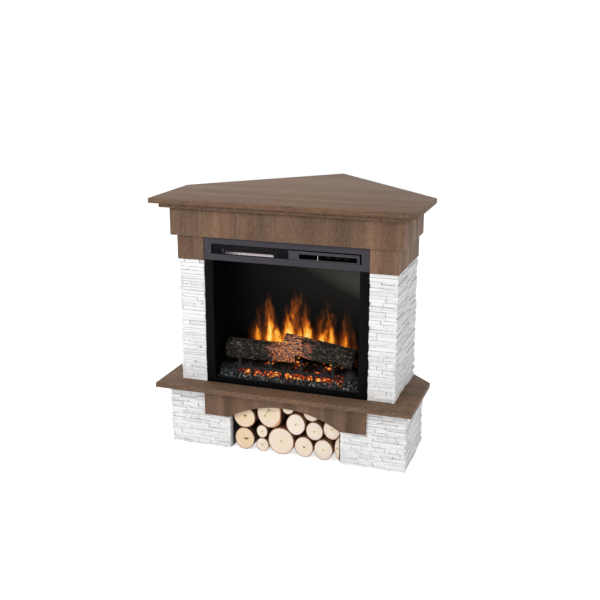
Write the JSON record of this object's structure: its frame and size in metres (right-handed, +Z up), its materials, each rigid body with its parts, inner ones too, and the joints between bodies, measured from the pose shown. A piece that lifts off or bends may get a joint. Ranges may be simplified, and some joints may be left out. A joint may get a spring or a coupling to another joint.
{
  "type": "corner fireplace",
  "caption": "Five-sided corner fireplace mantel with stone-clad columns, an electric fire with logs and flames, and an arched firewood niche below the hearth shelf.",
  "frame": {"origin": "middle of the outer box at floor level", "axes": "+Z up; the front faces -Y and the room corner is at +Y; +X is to the right for someone facing the front"},
  "size_m": [1.024, 0.854, 1],
  "materials": {
    "walnut": "matt walnut-look decor with a fine vertical or lengthwise grain",
    "stone": "matt white split-face ledger cladding",
    "plain_board": "plain fibreboard inside",
    "niche_board": "matt black board",
    "charcoal_steel": "satin charcoal coating",
    "black_steel": "satin black coating",
    "bright_metal": "plain bright metal",
    "black_plastic": "fine matt black",
    "smoked_screen": "smooth dark semi-mirror with the flame picture",
    "cast_iron": "matt black cast",
    "log_resin": "charred bark with a glow from inside",
    "ember_resin": "glowing embers behind a strip of dark gravel",
    "lamp_board": "lamp carrier",
    "birch": "pale sawn ends with thin bark"
  },
  "bodies": {
    "fireplace": {"apron_board": "walnut", "blower_housing": "black_steel", "blower_motor": "bright_metal", "capital_left": "walnut", "capital_right": "walnut", "carcass_front": "plain_board", "carcass_side_left": "plain_board", "carcass_side_right": "plain_board", "casing_left": "black_steel", "casing_right": "black_steel", "casing_top": "black_steel", "casing_tray": "black_steel", "column_left": "stone", "column_right": "stone", "control_bezel": "charcoal_steel", "cornice_board": "walnut", "ember_bed": "ember_resin", "firewood_01": "birch", "firewood_02": "birch", "firewood_03": "birch", "firewood_04": "birch", "firewood_05": "birch", "firewood_06": "birch", "firewood_07": "birch", "firewood_08": "birch", "firewood_09": "birch", "firewood_10": "birch", "firewood_11": "birch", "firewood_12": "birch", "firewood_13": "birch", "firewood_14": "birch", "flame_screen": "smoked_screen", "flicker_motor": "black_plastic", "frieze_front": "walnut", "frieze_left": "walnut", "frieze_right": "walnut", "grate": "cast_iron", "hearth_shelf": "walnut", "heater_deck": "black_steel", "heating_element": "bright_metal", "light_strip": "lamp_board", "log_left": "log_resin", "log_right": "log_resin", "niche_back": "niche_board", "niche_wall_left": "niche_board", "niche_wall_right": "niche_board", "outlet_grille": "black_steel", "plinth_left": "stone", "plinth_right": "stone", "plinth_side_left": "plain_board", "plinth_side_right": "plain_board", "rear_post": "plain_board", "top_slab": "walnut", "trim_flange": "black_steel", "valance_panel": "charcoal_steel"},
    "blower": {"blower_wheel": "bright_metal"},
    "flicker": {"flicker_rod": "bright_metal"},
    "power_button": {"button_power": "black_plastic"},
    "flame_button": {"button_flame": "black_plastic"},
    "heat_button": {"button_heat": "black_plastic"}
  },
  "joints": [
    {"name": "blower_spin", "type": "hinge", "parent": "fireplace", "child": "blower", "pos_m": [-0.146, -0.288, 0.806], "axis": [1, 0, 0], "continuous": true},
    {"name": "flicker_spin", "type": "hinge", "parent": "fireplace", "child": "flicker", "pos_m": [0, -0.153, 0.332], "axis": [1, 0, 0], "continuous": true},
    {"name": "power_press", "type": "slide", "parent": "fireplace", "child": "power_button", "axis": [0, 1, 0], "range_m": [0, 0.0015], "stiffness_N_per_m": 400, "springref_m": -0.0005},
    {"name": "flame_press", "type": "slide", "parent": "fireplace", "child": "flame_button", "axis": [0, 1, 0], "range_m": [0, 0.0015], "stiffness_N_per_m": 400, "springref_m": -0.0005},
    {"name": "heat_press", "type": "slide", "parent": "fireplace", "child": "heat_button", "axis": [0, 1, 0], "range_m": [0, 0.0015], "stiffness_N_per_m": 400, "springref_m": -0.0005}
  ]
}
